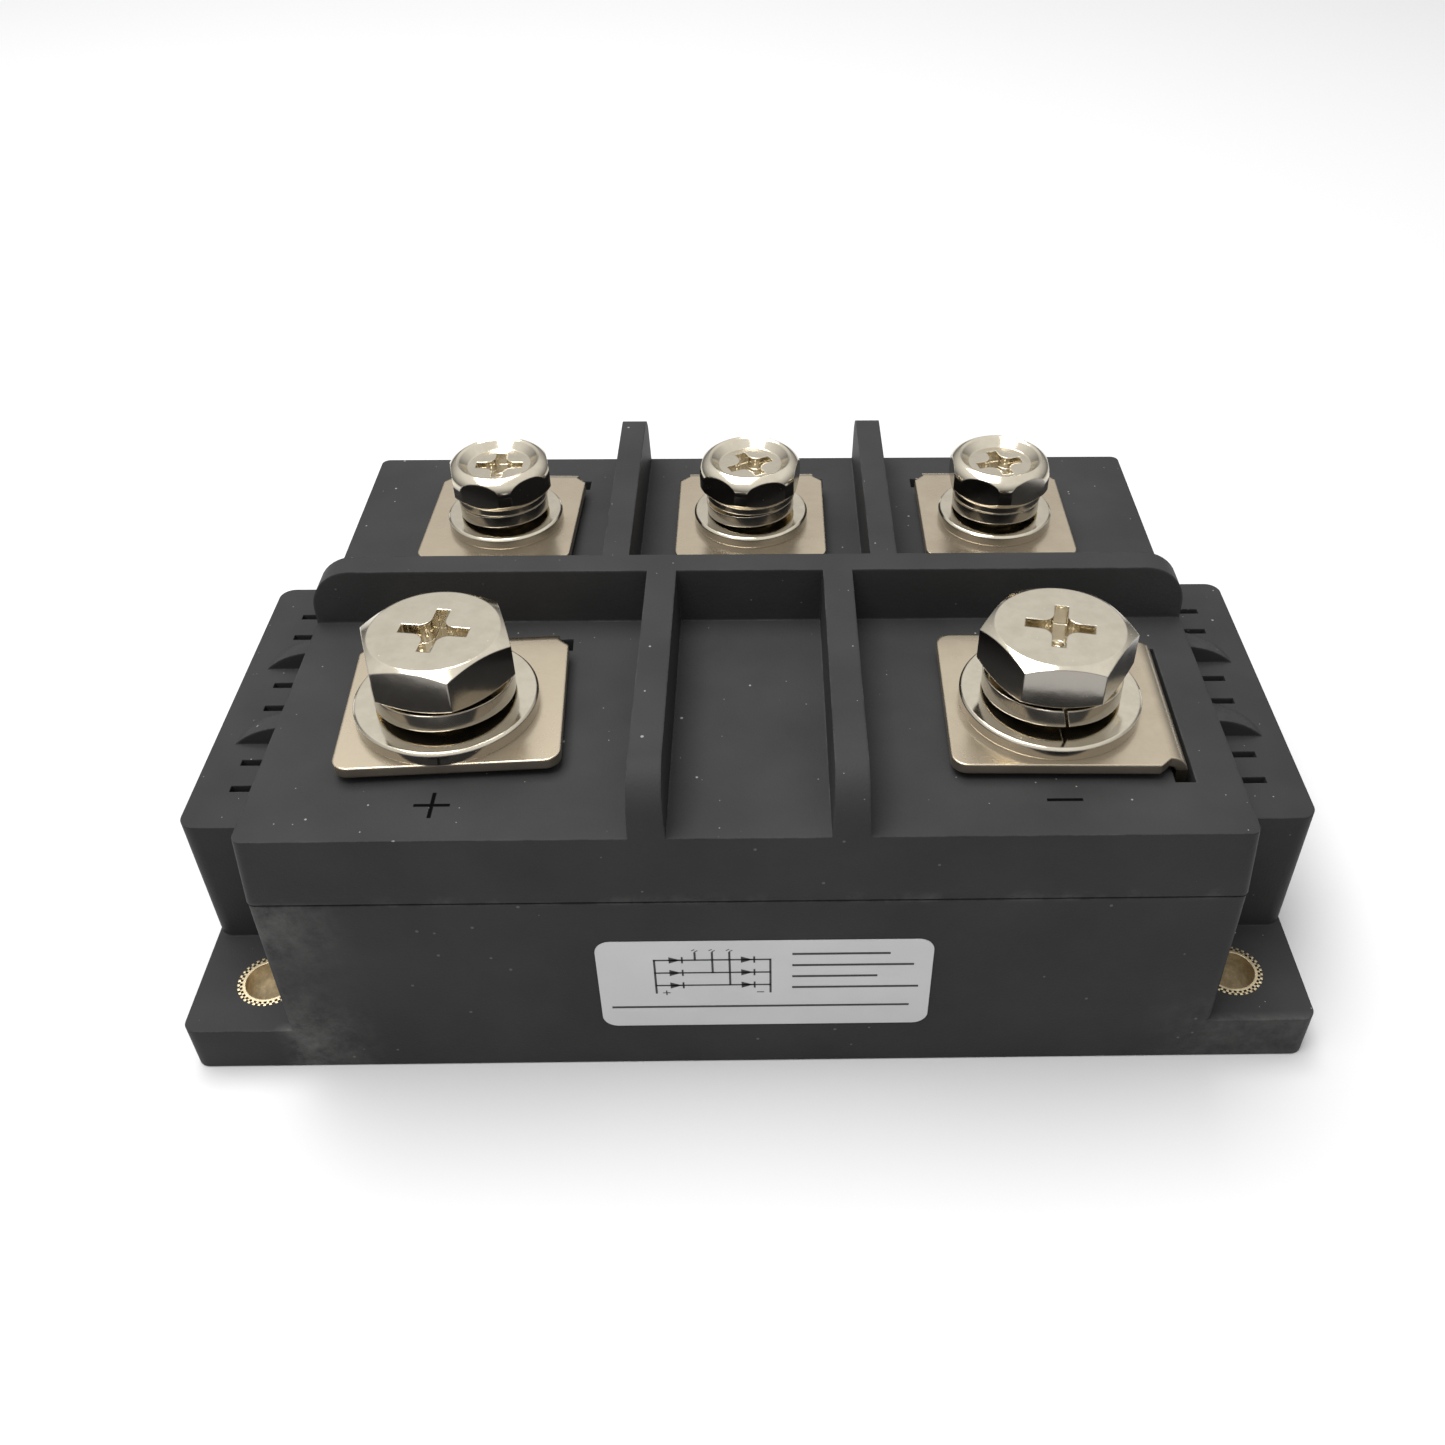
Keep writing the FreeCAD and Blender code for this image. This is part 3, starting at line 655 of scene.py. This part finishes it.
def makeScrews(form):
    recipe = threadRecipe(form)
    for name, kind in screwKinds.items():
        sizes = dict(screwSizes[kind], **threadFineness)
        mesh = nodes[name + "_screw"].data.copy()
        x, y, top = spotOf(mesh)
        seat = top - sizes.pop("head")
        sizes.update({"X": x, "Y": y, "Seat": seat})
        thread = recipe.made(name + "Thread", sizes)
        head = headOnly(mesh, seat, form)
        piece = joinedPiece(name + "Screw", [head, thread.data])
        bpy.data.objects.remove(thread)
        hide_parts(name + "_screw")
        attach(piece, name + "_screw")


# Knurled rims of the four mounting bushes

knurl = {
    "spots": [(-66.5, -35.5), (66.5, -35.5), (-66.5, 35.5), (66.5, 35.5)],
    "radius": 4.0,
    "teeth": 34,
    "toothLength": 0.7,
    "toothWidth": 0.4,
    "low": 7.3,
    "high": 7.6,
}


def makeKnurls(spec):
    recipe = Recipe("knurl", ["Radius", "Teeth", "X", "Y", "Low", "High"])
    g = recipe.given
    ring = recipe.node("GeometryNodeMeshCircle", {"fill_type": "NONE"},
                       {"Vertices": g["Teeth"], "Radius": g["Radius"] * mm})
    tall = (g["High"] - g["Low"]) * mm
    length, width = spec["toothLength"] * mm, spec["toothWidth"] * mm
    size = recipe.node("ShaderNodeCombineXYZ", None, {0: length, 1: width, 2: tall})
    tooth = recipe.node("GeometryNodeMeshCube", None, {"Size": size})
    outward = recipe.node("GeometryNodeInputPosition")
    aim = recipe.node("FunctionNodeAlignRotationToVector", {"axis": "X"}, {"Vector": outward})
    teeth = recipe.node("GeometryNodeInstanceOnPoints", None,
                        {"Points": ring, "Instance": tooth, "Rotation": aim})
    spot = recipe.node("ShaderNodeCombineXYZ", None,
                       {0: g["X"] * mm, 1: g["Y"] * mm, 2: (g["High"] + g["Low"]) * (mm / 2)})
    moved = recipe.node("GeometryNodeTransform", None, {"Geometry": teeth, "Translation": spot})
    recipe.close(moved, bushBrass)
    for number, (x, y) in enumerate(spec["spots"]):
        piece = recipe.made("bushKnurl%d" % (number + 1), {
            "Radius": spec["radius"], "Teeth": spec["teeth"], "X": x, "Y": y,
            "Low": spec["low"], "High": spec["high"]})
        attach(piece, "module")


# Print on the label: a plain bridge of six diodes and ruled lines, with no words

labelPrint = {
    "face": -44.2,
    "proud": 0.015,
    "line": 0.28,
    "rule": 0.40,
    "left": -12.4,
    "diodeBack": 0.95,
    "diodeTip": 0.6,
    "diodeHalf": 0.62,
    "stopAt": 0.75,
    "stopHalf": 0.5,
    "stopLine": 0.24,
    "tapRise": 1.4,
    "waveLine": 0.14,
    "footDrop": 1.5,
    "signInset": 1.3,
    "signArm": 0.4,
    "signLine": 0.16,
    "right": 2.4,
    "rows": (21.4, 18.9, 16.4),
    "diodeX": (-9.6, -0.4),
    "tapX": (-7.2, -5.0, -2.8),
    "rules": [(5.4, 17.5, 22.4), (5.4, 20.6, 20.2), (5.4, 16.0, 18.0), (5.4, 21.4, 15.8),
              (-18.2, 20.4, 12.0)],
}


def makeLabelPrint(spec):
    work = bmesh.new()
    y = (spec["face"] - spec["proud"]) * mm

    def patch(points):
        work.faces.new([work.verts.new((x * mm, y, z * mm)) for x, z in points])

    def bar(x0, z0, x1, z1, width=spec["line"]):
        along = Vector((x1 - x0, z1 - z0)).normalized() * (width / 2)
        side = Vector((-along.y, along.x))
        start, end = Vector((x0, z0)) - along, Vector((x1, z1)) + along
        patch([start + side, start - side, end - side, end + side])

    def diode(x, z):
        back, half = x - spec["diodeBack"], spec["diodeHalf"]
        stop, stopHalf = x + spec["stopAt"], spec["stopHalf"]
        patch([(back, z + half), (back, z - half), (x + spec["diodeTip"], z)])
        bar(stop, z - stopHalf, stop, z + stopHalf, spec["stopLine"])

    def wave(x, z):
        # two short strokes above a tap
        for step in range(2):
            shiftX, shiftZ = step * 0.4, step * 0.2
            bar(x - 0.35 + shiftX, z + 0.42 - shiftZ, x - 0.05 + shiftX, z + 0.62 - shiftZ, spec["waveLine"])

    for z in spec["rows"]:
        bar(spec["left"], z, spec["right"], z)
        for x in spec["diodeX"]:
            diode(x, z)
    bar(spec["left"], spec["rows"][-1], spec["left"], spec["rows"][0])
    bar(spec["right"], spec["rows"][-1], spec["right"], spec["rows"][0])
    top = spec["rows"][0] + spec["tapRise"]
    for x, z in zip(spec["tapX"], spec["rows"]):
        bar(x, z, x, top)
        wave(x, top)
    bottom = spec["rows"][-1] - spec["footDrop"]
    arm = spec["signArm"]
    for x, side in ((spec["left"], 1), (spec["right"], -1)):
        bar(x, spec["rows"][-1], x, bottom)
        inner = x + side * spec["signInset"]
        bar(inner - arm, bottom, inner + arm, bottom, spec["signLine"])
        if x == spec["left"]:
            bar(inner, bottom - arm, inner, bottom + arm, spec["signLine"])
    for x0, x1, z in spec["rules"]:
        bar(x0, z, x1, z, spec["rule"])
    mesh = bpy.data.meshes.new("labelPrint")
    work.to_mesh(mesh)
    work.free()
    mesh.materials.append(printInk)
    piece = addPiece("labelPrint", mesh)
    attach(piece, "module")


makeScrews(threadForm)
makeKnurls(knurl)
makeLabelPrint(labelPrint)
print("pieces ready")
